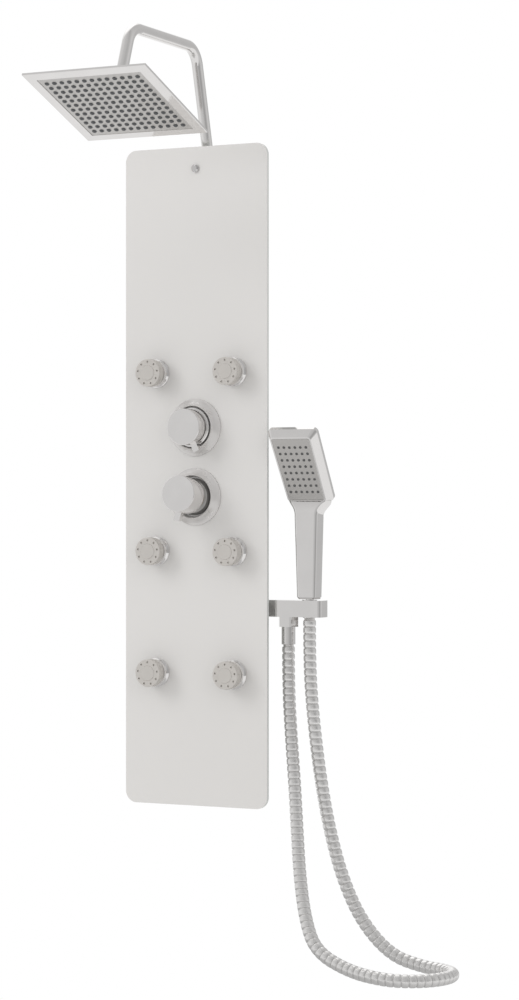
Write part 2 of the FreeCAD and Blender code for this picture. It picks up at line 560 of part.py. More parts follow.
BAR_BACK = "-Sizes.holder_back + Sizes.bar_depth / 2"
BAR_FRONT = "-Sizes.holder_back - Sizes.bar_depth / 2"
BAR_TOP = "Sizes.bar_level + Sizes.bar_height / 2"
BAR_BOTTOM = "Sizes.bar_level - Sizes.bar_height / 2"
bar_block = box("bar_block", ("Sizes.housing_width / 2", "Sizes.bar_end"), (BAR_FRONT, BAR_BACK), (BAR_BOTTOM, BAR_TOP))
doc.recompute()
end_edges = [i + 1 for i, e in enumerate(bar_block.Shape.Edges)
             if abs(e.tangentAt(0).z) > 0.99 and e.CenterOfMass.x > size("holder_x")]
bar = doc.addObject("Part::Fillet", "bar")
bar.Base = bar_block
bar.Edges = [(i, size("bar_corner"), size("bar_corner")) for i in end_edges]
seat = doc.addObject("Part::Cone", "holder_seat")
bind(seat, Radius1="Sizes.seat_bottom", Radius2="Sizes.seat_top", Height="Sizes.bar_height")
place(seat, "Sizes.holder_x", "-Sizes.holder_back", BAR_BOTTOM)
keep(cut("holder_bar", bar, seat,
         rod("nipple_socket", "7", "8", "Sizes.housing_width / 2", "-Sizes.feed_back", "Sizes.bar_level", "X")),
     "handset_bracket")
keep(fused("feed_nipple",
           rod("feed_nipple_tube", "7", "26", "Sizes.housing_width / 2 - 18", "-Sizes.feed_back", "Sizes.bar_level", "X"),
           hexagon("feed_nipple_hex", "9.5", "6", "Sizes.housing_width / 2 - 8", "-Sizes.feed_back",
                   "Sizes.bar_level", "X")), "bracket_nipple")
feed_back, port_level = -size("feed_back"), size("diverter_height") - 26
shaped("handset_feed_pipe", tube_along(
    [Vector(13, feed_back, port_level), Vector(13, feed_back, port_level - 16),
     Vector(size("feed_x"), feed_back, port_level - 34), Vector(size("feed_x"), feed_back, size("bar_level")),
     Vector(size("housing_width") / 2 - 18, feed_back, size("bar_level"))], size("feed_radius"), 9))

# ---------------------------------------------------------------- handset

holder = Vector(size("holder_x"), -size("holder_back"), 0)
# A frame on the spray face: X across, Y up the face, Z out of the back of the head.
face_frame = Placement(Vector(holder.x, -size("face_back"), size("face_level")),
                       Rotation(Vector(1, 0, 0), 90 + size("handset_lean")))
face_frame = face_frame.multiply(Placement(Vector(), Rotation(Vector(0, 1, 0), 180)))


def rounded(width_low, width_high, low, high, corner, height):
    """A rounded outline that widens from its low edge to its high edge, as one wire."""
    corners = [Vector(-width_low / 2, low, height), Vector(width_low / 2, low, height),
               Vector(width_high / 2, high, height), Vector(-width_high / 2, high, height)]
    edges = []
    ends = []
    for i, point in enumerate(corners):
        back, ahead = corners[i - 1] - point, corners[(i + 1) % 4] - point
        back.normalize()
        ahead.normalize()
        half = back.getAngle(ahead) / 2
        inward = (back + ahead).normalize()
        run = corner / math.tan(half)
        middle = point + inward * (corner / math.sin(half) - corner)
        ends.append((point + back * run, middle, point + ahead * run))
    for i, (start, middle, end) in enumerate(ends):
        edges.append(Part.Arc(start, middle, end).toShape())
        edges.append(Part.LineSegment(end, ends[(i + 1) % 4][0]).toShape())
    return Part.Wire(edges)


def face_outline(grow, corner, height):
    """The head's outline at a height behind its face, each side moved out by grow."""
    half = size("face_length") / 2
    top, bottom = size("face_width_top") / 2 + grow, size("face_width_bottom") / 2 + grow
    return rounded(2 * bottom, 2 * top, -half - grow, half + grow, corner, height)


flare = (size("head_width") - size("face_width_top")) / 2
head_form = Part.makeLoft([face_outline(size("face_rim"), 5, 0), face_outline(flare, 7, 12), face_outline(flare, 7, 18),
                           face_outline(flare - 5, 9, 24), face_outline(flare - 16, 12, 28)], True, True)
head_form.Placement = face_frame


def grip_outline(level, corner, front_width, front, back_width=None, back=None):
    """The grip's outline at a level: its widths, and how far its front and back lie from its axis."""
    outline = rounded(front_width, back_width or front_width, -front, back or front, corner, level)
    outline.translate(holder)
    return outline


grip_top, grip_bottom = size("grip_top"), size("grip_bottom")
grip_form = Part.makeLoft([grip_outline(grip_bottom, 3.5, 27, 12), grip_outline(grip_bottom + 3, 4, 31, 14, 31, 12),
                           grip_outline(grip_top, 4.5, 38, 15.5, 38, 12.5)], True, True)
# The shoulder flares from the grip into the back of the head, and the neck runs on inside it.
shoulder_form = Part.makeLoft([
    grip_outline(grip_top, 4.5, 38, 15.5, 38, 12.5), grip_outline(grip_top + 6, 5, 38.8, 15.3, 40.5, 12.7),
    grip_outline(grip_top + 10, 5.5, 40.5, 14.9, 47, 12.8), grip_outline(grip_top + 14, 6, 43.5, 14.2, 57, 12.5),
    grip_outline(grip_top + 18, 6.5, 48.5, 13, 68.5, 11.5), grip_outline(grip_top + 22, 7, 54.5, 11.5, 76.5, 10),
    grip_outline(grip_top + 25, 7, 59, 9.7, 79.5, 8.5)], True, False)
neck_form = Part.makeLoft([grip_outline(grip_top + 25, 7, 59, 9.7, 79.5, 8.5),
                           grip_outline(grip_top + 33, 5, 54, 9.7, 66, 4.5)], True, True)
plate_cut = Part.makeLoft([face_outline(0.2, 3.2, -1), face_outline(0.2, 3.2, 2)], True, True)
plate_cut.Placement = face_frame
grip_bore = Part.makeCylinder(6.5, 14, Vector(holder.x, holder.y, grip_bottom - 1))
shaped("handset_body", head_form.fuse([grip_form, shoulder_form, neck_form]).cut(plate_cut).cut(grip_bore))
face_plate = Part.makeLoft([face_outline(-0.6, 2.6, -0.6), face_outline(0, 3, 0), face_outline(0, 3, 2)], True, True)
shaped("handset_face", face_plate, face_frame)
shaped("handset_nozzles", spray_field(6, 8, size("spray_across"), size("spray_along"), -0.6, Vector(0, 0, -1), 2, 1.2),
       face_frame)

# ---------------------------------------------------------------- hose and its ends

keep(fused("outlet_nut", hexagon("outlet_hex", "Sizes.nut_flats / 2", "Sizes.bar_level - Sizes.bar_height / 2 - Sizes.nut_bottom",
                                 "Sizes.outlet_x", "-Sizes.holder_back", "Sizes.nut_bottom"),
           rod("ferrule", "10.5", "Sizes.nut_bottom - Sizes.ferrule_bottom", "Sizes.outlet_x", "-Sizes.holder_back",
               "Sizes.ferrule_bottom")), "hose_nut")
keep(turned("cone_nut", "Z", [
    ("0", "Sizes.cone_bottom"), ("Sizes.seat_bottom - 0.4", "Sizes.cone_bottom"),
    ("Sizes.seat_top - 0.4", BAR_TOP + " + 1"), ("6", BAR_TOP + " + 1"), ("6", BAR_TOP + " + 13"),
    ("0", BAR_TOP + " + 13")], x="Sizes.holder_x", y="-Sizes.holder_back"), "hose_cone_nut")

outlet = Vector(size("outlet_x"), holder.y, size("ferrule_bottom"))
HOSE_POINTS = [
    (141.4, -28.5, -318), (151, -39, -388), (161, -48, -458), (172, -62, -528), (183, -84, -594),
    (200, -112, -652), (233, -136, -692), (297, -150, -714), (357, -165, -719), (394, -155, -720),
    (421, -128, -721), (431, -91, -722), (421, -54, -724), (394, -27, -725), (357, -17, -723), (303, -14, -706),
    (256, -15, -664), (226, -17.5, -602), (206, -19.5, -532), (193, -22, -461), (184.5, -25.5, -390),
    (178, -27, -320), (176.5, -28.5, -262),
]
hose_end = Vector(holder.x, holder.y, size("cone_bottom") - 0.1)
hose_points = [outlet] + [Vector(*point) for point in HOSE_POINTS] + [hose_end]
hose_edges, hose_radii = rounded_route(hose_points)
hose_length = sum(edge.Length for edge in hose_edges)
print("hose arc radii:", " ".join(str(round(radius)) for radius in hose_radii))

# The hose's ribs: eight-sided rings along the route, their X axis carried along without twist.
SIDES = 8


class Walker:
    """Points and directions at any distance along the route."""

    def __init__(self, edges):
        self.edges = edges
        self.across = Vector(1, 0, 0)

    def ring(self, distance, radius):
        for edge in self.edges:
            if distance <= edge.Length + 1e-6:
                break
            distance -= edge.Length
        where = edge.getParameterByLength(min(distance, edge.Length))
        centre, along = edge.valueAt(where), edge.tangentAt(where)
        self.across = (self.across - along * self.across.dot(along)).normalize()
        side = along.cross(self.across)
        corners = []
        for k in range(SIDES):
            angle = 2 * math.pi * k / SIDES
            corners.append(centre + self.across * (radius * math.cos(angle)) + side * (radius * math.sin(angle)))
        return Part.makePolygon(corners + corners[:1])


ribs = int(size("hose_ribs"))
plain = size("hose_crest") * 2
pitch = (hose_length - 2 * plain) / ribs
walker = Walker(hose_edges)
outer_rings = [walker.ring(0, size("hose_root"))]
for rib in range(ribs):
    start = plain + rib * pitch
    outer_rings += [walker.ring(start, size("hose_root")), walker.ring(start + pitch / 2, size("hose_crest"))]
outer_rings += [walker.ring(hose_length - plain, size("hose_root")), walker.ring(hose_length, size("hose_root"))]
walker = Walker(hose_edges)
bore_count = 60
bore_rings = [walker.ring(hose_length * i / bore_count, size("hose_bore")) for i in range(bore_count + 1)]
hose = Part.makeLoft(outer_rings, True, True).cut(Part.makeLoft(bore_rings, True, True)).Solids[0]
section = SIDES / 2 * math.sin(2 * math.pi / SIDES)
mean_square = (size("hose_root") ** 2 + size("hose_root") * size("hose_crest") + size("hose_crest") ** 2) / 3
expected = section * (mean_square * (hose_length - 2 * plain) + size("hose_root") ** 2 * 2 * plain
                      - size("hose_bore") ** 2 * hose_length)
print("hose length", round(hose_length), "volume", round(hose.Volume), "section x length", round(expected))
shaped("hose", hose)

# ---------------------------------------------------------------- check and write

doc.recompute()
for thing in doc.Objects:
    if "Invalid" in thing.State or "Error" in thing.State:
        raise RuntimeError(f"{thing.Name} failed: {thing.State}")
for label, thing in nodes.items():
    if thing.Shape.isNull() or not thing.Shape.isValid():
        raise RuntimeError(f"{label} has no valid shape")
os.makedirs("parts", exist_ok=True)
for label, thing in nodes.items():
    thing.Shape.exportStep(f"parts/{label}.step")
print(len(nodes), "pieces")
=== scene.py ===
import json
import math

import bpy
import numpy as np
from mathutils import Matrix, Vector


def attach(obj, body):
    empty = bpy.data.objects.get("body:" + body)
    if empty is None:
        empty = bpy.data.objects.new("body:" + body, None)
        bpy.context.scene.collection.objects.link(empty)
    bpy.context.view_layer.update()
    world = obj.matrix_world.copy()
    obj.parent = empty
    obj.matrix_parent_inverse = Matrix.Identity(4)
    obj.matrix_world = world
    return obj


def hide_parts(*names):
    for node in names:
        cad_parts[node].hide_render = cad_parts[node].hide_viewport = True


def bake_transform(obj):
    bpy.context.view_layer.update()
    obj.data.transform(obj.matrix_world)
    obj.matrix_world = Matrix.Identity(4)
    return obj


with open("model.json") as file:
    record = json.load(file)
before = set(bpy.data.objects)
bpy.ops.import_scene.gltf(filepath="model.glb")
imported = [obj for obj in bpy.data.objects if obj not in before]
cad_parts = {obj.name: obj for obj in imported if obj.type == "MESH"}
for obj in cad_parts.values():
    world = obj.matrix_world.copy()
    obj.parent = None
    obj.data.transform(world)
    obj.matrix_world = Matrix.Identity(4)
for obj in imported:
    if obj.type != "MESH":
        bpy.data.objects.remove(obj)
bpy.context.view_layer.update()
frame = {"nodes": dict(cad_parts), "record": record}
nodes = frame["nodes"]

# ---------------------------------------------------------------- camera

AZIMUTH = math.radians(26.5)
camera_data = bpy.data.cameras.new("camera")
camera_data.lens = 95.76
camera_data.sensor_width = 36
camera = bpy.data.objects.new("camera", camera_data)
camera.location = (1.8881, -3.6295, -0.0361)
camera.rotation_euler = (math.pi / 2, 0, AZIMUTH)
bpy.context.collection.objects.link(camera)
bpy.context.scene.camera = camera
camera_data.clip_end = 50

# ---------------------------------------------------------------- node helpers


def new_material(name):
    material = bpy.data.materials.new(name)
    material.use_nodes = True
    material.node_tree.nodes.clear()
    return material, material.node_tree


def node(tree, kind, inputs=None, **settings):
    """A shader node, with its inputs given by name: a value, or a link from another node's socket."""
    made = tree.nodes.new(kind)
    for key, value in settings.items():
        setattr(made, key, value)
    for key, value in (inputs or {}).items():
        if isinstance(value, bpy.types.NodeSocket):
            tree.links.new(value, made.inputs[key])
        else:
            made.inputs[key].default_value = value
    return made


def ramp(tree, factor, stops):
    made = node(tree, "ShaderNodeValToRGB", {"Fac": factor})
    elements = made.color_ramp.elements
    while len(elements) < len(stops):
        elements.new(0.5)
    for element, (position, colour) in zip(elements, stops):
        element.position = position
        element.color = (*colour, 1) if len(colour) == 3 else colour
    return made


def grey(value):
    return (value, value, value)


def noise(tree, coordinates, scale, detail=3.0):
    return node(tree, "ShaderNodeTexNoise", {"Vector": coordinates, "Scale": scale, "Detail": detail,
                                             "Roughness": 0.5})


def map_range(tree, value, low, high, to_low=0.0, to_high=1.0):
    return node(tree, "ShaderNodeMapRange", {"Value": value, "From Min": low, "From Max": high,
                                             "To Min": to_low, "To Max": to_high})


def bumps(tree, height, strength, distance):
    return node(tree, "ShaderNodeBump", {"Height": height, "Strength": strength, "Distance": distance})


METAL_TONE_RANGE = 0.03
PLASTIC_TONE_RANGE = 0.08
PLASTIC_GRAIN = 60.0


def finish_material(tree, shader):
    node(tree, "ShaderNodeOutputMaterial", {"Surface": shader.outputs[0]})


def metal(name, tint, low, high, wear_scale=35.0, bump=0.02, stretch=(1, 1, 1), metallic=1.0):
    """A plated or bare metal. Its roughness (low to high) and tone wander, as polish and water leave them."""
    material, tree = new_material(name)
    coordinates = node(tree, "ShaderNodeTexCoord").outputs["Object"]
    scaled = node(tree, "ShaderNodeMapping", {"Vector": coordinates, "Scale": stretch}).outputs[0]
    broad = noise(tree, scaled, wear_scale, 4.0)
    fine = noise(tree, scaled, wear_scale * 14, 2.0)
    darker = tuple(channel * (1 - METAL_TONE_RANGE) for channel in tint)
    colour = ramp(tree, broad.outputs["Fac"], [(0.35, darker), (0.65, tint)])
    rough = map_range(tree, broad.outputs["Fac"], 0.3, 0.7, low, high)
    relief = bumps(tree, fine.outputs["Fac"], bump, 0.0002)
    shader = node(tree, "ShaderNodeBsdfPrincipled", {
        "Base Color": colour.outputs[0], "Metallic": metallic, "Roughness": rough.outputs[0],
        "Normal": relief.outputs[0]})
    finish_material(tree, shader)
    return material


def plastic(name, tint, roughness):
    """A moulded plastic or rubber with a faint grain."""
    material, tree = new_material(name)
    coordinates = node(tree, "ShaderNodeTexCoord").outputs["Object"]
    broad = noise(tree, coordinates, PLASTIC_GRAIN)
    fine = noise(tree, coordinates, PLASTIC_GRAIN * 20, 2.0)
    darker = tuple(channel * (1 - PLASTIC_TONE_RANGE) for channel in tint)
    colour = ramp(tree, broad.outputs["Fac"], [(0.3, darker), (0.7, tint)])
    rough = map_range(tree, fine.outputs["Fac"], 0.3, 0.7, roughness * 0.85, roughness * 1.15)
    relief = bumps(tree, fine.outputs["Fac"], 0.05, 0.0003)
    shader = node(tree, "ShaderNodeBsdfPrincipled", {
        "Base Color": colour.outputs[0], "Roughness": rough.outputs[0], "Normal": relief.outputs[0],
        "Specular IOR Level": 0.5})
    finish_material(tree, shader)
    return material


MIXER_LEVEL = -0.031            # height of the mixer's axis
DIVERTER_LEVEL = 0.074          # height of the diverter's axis
GLASS_FRONT = -0.0598           # y just behind the glass's front face, where its edge colour begins
GLASS_EDGE = -0.0592            # y from which the edge colour is full
SOCKET_MIDDLE = 0.0242          # radius to which the mixer's socket is pale
SOCKET_SHADE_RING = 0.0252             # radius from which its painted shade ring is fully dark


def white_glass():
    """Back-painted glass: a white ground under a clear face, its cut edge a little greener and darker."""
    material, tree = new_material("white_glass")
    coordinates = node(tree, "ShaderNodeTexCoord").outputs["Object"]
    place = node(tree, "ShaderNodeSeparateXYZ", {"Vector": coordinates})
    depth = map_range(tree, place.outputs["Y"], GLASS_FRONT, GLASS_EDGE)
    mottle = noise(tree, coordinates, 2.2, 2.0)
    haze = noise(tree, coordinates, 26.0, 4.0)
    ground = ramp(tree, mottle.outputs["Fac"], [(0.3, (0.722, 0.711, 0.700)), (0.7, (0.748, 0.738, 0.728))])
    edge = ramp(tree, haze.outputs["Fac"], [(0.3, (0.66, 0.675, 0.66)), (0.7, (0.72, 0.73, 0.72))])
    colour = node(tree, "ShaderNodeMix", {0: depth.outputs[0], 6: ground.outputs[0], 7: edge.outputs[0]},
                  data_type="RGBA")
    rough = map_range(tree, haze.outputs["Fac"], 0.3, 0.7, 0.16, 0.24)
    shader = node(tree, "ShaderNodeBsdfPrincipled", {
        "Base Color": colour.outputs[2], "Roughness": rough.outputs[0], "IOR": 1.5,
        "Specular IOR Level": 0.35, "Coat Weight": 0.25, "Coat Roughness": 0.06})
    finish_material(tree, shader)
    return material


def socket_with_painted_shade():
    """The mixer's socket: a pale moulded middle, with painted shade as a soft-edged dark ring round its outside,
    where the gap round the knob lies in shadow.
    """
    material, tree = new_material("socket_with_painted_shade")
    coordinates = node(tree, "ShaderNodeTexCoord").outputs["Object"]
    from_axis = node(tree, "ShaderNodeVectorMath", {0: coordinates, 1: (0, 0, MIXER_LEVEL)},
                     operation="SUBTRACT")
    flat = node(tree, "ShaderNodeVectorMath", {0: from_axis.outputs[0], 1: (1, 0, 1)}, operation="MULTIPLY")
    radius = node(tree, "ShaderNodeVectorMath", {0: flat.outputs[0]}, operation="LENGTH")
    # Painted shade: towards its outer radius the socket's colour turns dark, for the shadow in the gap round the
    # knob.
    shade_ring = map_range(tree, radius.outputs["Value"], SOCKET_MIDDLE, SOCKET_SHADE_RING)
    grain = noise(tree, coordinates, 70.0, 3.0)
    middle = ramp(tree, grain.outputs["Fac"], [(0.3, (0.50, 0.49, 0.48)), (0.7, (0.56, 0.55, 0.54))])
    dark = ramp(tree, grain.outputs["Fac"], [(0.3, (0.13, 0.125, 0.12)), (0.7, (0.16, 0.155, 0.15))])
    colour = node(tree, "ShaderNodeMix", {0: shade_ring.outputs[0], 6: middle.outputs[0], 7: dark.outputs[0]},
                  data_type="RGBA")
    relief = bumps(tree, grain.outputs["Fac"], 0.06, 0.0003)
    shader = node(tree, "ShaderNodeBsdfPrincipled", {
        "Base Color": colour.outputs[2], "Roughness": 0.36, "Normal": relief.outputs[0]})
    finish_material(tree, shader)
    return material


def hose_metal():
    """Plated strip wound into ribs, with painted shade darkening the grooves where the turns lock."""
    material = metal("hose_metal", (0.80, 0.79, 0.78), 0.24, 0.34, wear_scale=60)
    tree = material.node_tree
    shader = next(item for item in tree.nodes if item.type == "BSDF_PRINCIPLED")
    plating = shader.inputs["Base Color"].links[0].from_socket
    groove = node(tree, "ShaderNodeAttribute", attribute_name="groove")
    shade = map_range(tree, groove.outputs["Fac"], 0.1, 0.9)
    # Painted shade: the base colour darkens towards the bottom of each groove.
    mixed = node(tree, "ShaderNodeMix", {0: shade.outputs[0], 6: plating, 7: (0.64, 0.63, 0.62, 1)},
                 data_type="RGBA")
    tree.links.new(mixed.outputs[2], shader.inputs["Base Color"])
    return material


MATERIALS = {
    "white_glass": white_glass(),
    "chrome": metal("chrome", (0.805, 0.79, 0.78), 0.035, 0.09),
    "satin_face": metal("satin_face", (0.555, 0.54, 0.525), 0.30, 0.42,
                        wear_scale=80, bump=0.06, metallic=0.85),
    # The rain head's plate: the satin face lightened, painted light that offsets the shade on its
    # downward-turned face.
    "head_plate_lightened": metal("head_plate_lightened", (0.61, 0.595, 0.58), 0.30, 0.42,
                        wear_scale=80, bump=0.06, metallic=0.85),
    "jet_satin": metal("jet_satin", (0.62, 0.595, 0.565), 0.34, 0.46,
                       wear_scale=90, bump=0.06, metallic=0.45),
    "flange_satin": metal("flange_satin", (0.69, 0.675, 0.665), 0.20, 0.30, wear_scale=40, metallic=0.35),
    "socket_grey": plastic("socket_grey", (0.58, 0.57, 0.56), 0.35),
    "soft_nozzle": plastic("soft_nozzle", (0.10, 0.105, 0.11), 0.5),
    "soft_nozzle_pale": plastic("soft_nozzle_pale", (0.105, 0.105, 0.107), 0.5),
    "dark_plastic": plastic("dark_plastic", (0.20, 0.195, 0.19), 0.38),
    "steel_sheet": metal("steel_sheet", (0.70, 0.70, 0.69), 0.28, 0.42, wear_scale=20, bump=0.15,
                         stretch=(1, 1, 0.03)),
    "brass": metal("brass", (0.70, 0.53, 0.25), 0.25, 0.45, wear_scale=50, bump=0.1),
    "pipe": plastic("pipe", (0.74, 0.74, 0.72), 0.4),
    "hose_metal": hose_metal(),
    "socket_with_painted_shade": socket_with_painted_shade(),
    "stud_chrome": metal("stud_chrome", (0.66, 0.65, 0.645), 0.08, 0.16),
}
SLOTS = {part["node"]: part["material_slot"] for part in frame["record"]["subparts"]}


def dress(thing, slot, finish=None):
    thing.data.materials.clear()
    thing.data.materials.append(MATERIALS[finish or slot])


# Nodes whose finish differs from the one their material slot gives.
FINISHES = {"head_face_plate": "head_plate_lightened", "fixing_stud": "stud_chrome",
            "mixer_flange": "flange_satin", "diverter_flange": "flange_satin",
            "mixer_socket": "socket_with_painted_shade", "diverter_socket": "socket_grey",
            **{f"jet_head_{n}": "jet_satin" for n in range(1, 7)}}
for name, thing in nodes.items():
    thing.data.materials.clear()
    thing.data.materials.append(MATERIALS[FINISHES.get(name, SLOTS[name])])


def soften_edges(thing, width):
    bevel = thing.modifiers.new("edges", "BEVEL")
    bevel.width = width
    bevel.segments = 2
    bevel.limit_method = "ANGLE"
    bevel.angle_limit = math.radians(35)
    bevel.harden_normals = False


def mesh_piece(name, vertices, faces, slot, finish=None):
    mesh = bpy.data.meshes.new(name)
    mesh.from_pydata([tuple(v) for v in vertices], [], faces)
    mesh.update()
    mesh.polygons.foreach_set("use_smooth", [True] * len(mesh.polygons))
    thing = bpy.data.objects.new(name, mesh)
    bpy.context.collection.objects.link(thing)
    dress(thing, slot, finish)
    return thing


# ---------------------------------------------------------------- hose
# The route's points are the centreline's control points, in metres.

HOSE_POINTS = [
    (0.1414, -0.0285, -0.253), (0.1414, -0.0285, -0.318), (0.151, -0.039, -0.388), (0.161, -0.048, -0.458),
    (0.172, -0.062, -0.528), (0.187, -0.084, -0.594), (0.2095, -0.112, -0.652), (0.238, -0.136, -0.692),
    (0.297, -0.150, -0.714), (0.357, -0.165, -0.719), (0.394, -0.155, -0.720), (0.4205, -0.128, -0.7205),
    (0.4294, -0.091, -0.7215), (0.4205, -0.054, -0.723), (0.394, -0.027, -0.7238), (0.357, -0.017, -0.7236),
    (0.303, -0.014, -0.711), (0.256, -0.015, -0.664), (0.226, -0.0175, -0.602), (0.206, -0.0195, -0.532),
    (0.193, -0.022, -0.461), (0.1845, -0.0255, -0.390), (0.178, -0.027, -0.320), (0.1765, -0.0285, -0.262),
    (0.1765, -0.0285, -0.2126),
]
HOSE_CREST = 0.0097             # radius at a rib
HOSE_ROOT = 0.0079              # radius in the groove between two ribs
HOSE_PITCH = 0.0105             # length of a rib and its groove
HOSE_SLEEVE = 0.003             # smooth length at each end
# One rib along its length: share of the pitch, share of the height from groove to crest.
RIB_SHAPE = [(0.0, 0.0), (0.06, 0.50), (0.16, 0.90), (0.38, 1.0), (0.62, 1.0), (0.84, 0.90), (0.94, 0.50)]


def smooth_line(points):
    """The points along a NURBS spline with these control points."""
    curve = bpy.data.curves.new("route", "CURVE")
    curve.dimensions = "3D"
    curve.resolution_u = 24
    spline = curve.splines.new("NURBS")
    spline.points.add(len(points) - 1)
    for point, place in zip(spline.points, points):
        point.co = (*place, 1)
    spline.order_u = 3
    spline.use_endpoint_u = True
    thing = bpy.data.objects.new("route", curve)
    bpy.context.collection.objects.link(thing)
    bpy.context.view_layer.update()
    mesh = bpy.data.meshes.new_from_object(thing)
    line = np.array([v.co[:] for v in mesh.vertices])
    bpy.data.objects.remove(thing)
    bpy.data.meshes.remove(mesh)
    keep = np.r_[True, np.linalg.norm(np.diff(line, axis=0), axis=1) > 1e-6]
    return line[keep]


def ribbed_tube(name, line, start, end, profile, sides=24):
    """A tube along a line between two distances. profile gives each ring's distance, radius, share of groove."""
    steps = np.r_[0, np.cumsum(np.linalg.norm(np.diff(line, axis=0), axis=1))]
    tangents = np.gradient(line, steps, axis=0)
    vertices, faces, grooves, count = [], [], [], 0
    across = np.array([1.0, 0.0, 0.0])
    angles = np.linspace(0, 2 * np.pi, sides, endpoint=False)
    for distance, radius, groove in profile:
        if distance < start - 1e-9 or distance > end + 1e-9:
            continue
        centre = np.array([np.interp(distance, steps, line[:, i]) for i in range(3)])
        along = np.array([np.interp(distance, steps, tangents[:, i]) for i in range(3)])
        along /= np.linalg.norm(along)
        across = across - along * across.dot(along)
        across /= np.linalg.norm(across)
        side = np.cross(along, across)
        for angle in angles:
            vertices.append(centre + radius * (math.cos(angle) * across + math.sin(angle) * side))
        grooves += [groove] * sides
        if count:
            low, high = (count - 1) * sides, count * sides
            for k in range(sides):
                after = (k + 1) % sides
                faces.append((low + k, low + after, high + after, high + k))
        count += 1
    faces.append(tuple(range(sides))[::-1])
    faces.append(tuple(range((count - 1) * sides, count * sides)))
    tube = mesh_piece(name, vertices, faces, "hose_metal")
    tube.data.attributes.new("groove", "FLOAT", "POINT").data.foreach_set("value", grooves)
    return tube


def hose_profile(length):
    """Smooth sleeves at both ends and rounded ribs between, seven rings to a rib."""
    ribbed = length - 2 * HOSE_SLEEVE
    ribs = round(ribbed / HOSE_PITCH)
    pitch = ribbed / ribs
    rings = [(0.0, HOSE_ROOT, 0.0), (HOSE_SLEEVE * 0.98, HOSE_ROOT, 0.0)]
    for rib in range(ribs):
        for part, height in RIB_SHAPE:
            radius = HOSE_ROOT + (HOSE_CREST - HOSE_ROOT) * height
            rings.append((HOSE_SLEEVE + (rib + part) * pitch, radius, 1 - height))
    return rings + [(length - HOSE_SLEEVE, HOSE_ROOT, 0.0), (length, HOSE_ROOT, 0.0)]


hose_line = smooth_line(HOSE_POINTS)
hose_steps = np.r_[0, np.cumsum(np.linalg.norm(np.diff(hose_line, axis=0), axis=1))]
hose_length = float(hose_steps[-1])
profile = hose_profile(hose_length)
# The hose is one tube, made in two stretches that meet in a valley at the turn of its loop.
turn = hose_steps[int(np.argmax(hose_line[:, 0]))]
valleys = [distance for distance, radius, groove in profile if groove == 1.0]
split = min(valleys, key=lambda distance: abs(distance - turn))
first = ribbed_tube("hose_outlet_side", hose_line, 0, split, profile)
second = ribbed_tube("hose_handset_side", hose_line, split, hose_length, profile)
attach(first, "panel")
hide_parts("hose")
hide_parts("hose")
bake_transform(second)

# ---------------------------------------------------------------- spray nozzles


NOZZLE_SIDES = 14
# Half section of a nozzle: share of its radius, share of how far it stands proud.
NOZZLE_OUTLINE = [(1.12, 0.0), (1.05, 0.3), (0.86, 0.62), (0.80, 0.94), (0.66, 1.0), (0.34, 0.96),
                  (0.26, 0.72)]


def face_frame(origin, tilt, turned=0.0):
    return Matrix.Translation(origin) @ Matrix.Rotation(tilt, 4, "X") @ Matrix.Rotation(turned, 4, "Y")


def spray_nozzles(name, place, grid, spacing, height, radius, proud, body, replaced, finish):
    """A grid of soft nozzles out along the face's -Z, each with a round foot, a taper and a dimpled tip."""
    sides = NOZZLE_SIDES
    vertices, faces = [], []
    for i in range(grid[0]):
        for j in range(grid[1]):
            centre = Vector(((i - (grid[0] - 1) / 2) * spacing[0],
                             (j - (grid[1] - 1) / 2) * spacing[1], height))
            start = len(vertices)
            for width, share in NOZZLE_OUTLINE:
                for k in range(sides):
                    angle = 2 * math.pi * k / sides
                    vertices.append(place @ (centre + Vector((
                        radius * width * math.cos(angle), radius * width * math.sin(angle), -proud * share))))
            for ring in range(len(NOZZLE_OUTLINE) - 1):
                low, high = start + ring * sides, start + (ring + 1) * sides
                for k in range(sides):
                    after = (k + 1) % sides
                    faces.append((low + k, high + k, high + after, low + after))
            last = start + (len(NOZZLE_OUTLINE) - 1) * sides
            faces.append(tuple(last + k for k in range(sides))[::-1])
            faces.append(tuple(start + k for k in range(sides)))
    thing = mesh_piece(name, vertices, faces, "soft_nozzle", finish=finish)
    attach(thing, body)
    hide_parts(replaced)
    return thing


HEAD_TILT = math.radians(20.6)
ARM_REACH = 0.261               # the arm's front corner, out from the wall
ARM_TOP = 0.650                 # that corner's height
HEAD_DROP = 0.127               # from that corner down the arm's front leg to the head's face
RAIN_GRID = (13, 12)
RAIN_SPACING = (0.1477 / 12, 0.144 / 11)
HANDSET_FACE = Vector((0.1765, -0.067, 0.009))
HANDSET_TILT = math.radians(90 + 32.9)
HANDSET_GRID = (6, 8)
HANDSET_SPACING = (0.009, 0.01115)

head_centre = Vector((0, -ARM_REACH - HEAD_DROP * math.sin(HEAD_TILT),
                      ARM_TOP - HEAD_DROP * math.cos(HEAD_TILT)))
spray_nozzles("rain_nozzles", face_frame(head_centre, -HEAD_TILT), RAIN_GRID, RAIN_SPACING, 0.0002, 0.0033,
              0.0016, "rain_head", "head_nozzles", "soft_nozzle")
spray_nozzles("handset_spray", face_frame(HANDSET_FACE, HANDSET_TILT, math.pi), HANDSET_GRID, HANDSET_SPACING,
              -0.0006, 0.002, 0.0012, "handset", "handset_nozzles", "soft_nozzle_pale")

# ---------------------------------------------------------------- diverter collar


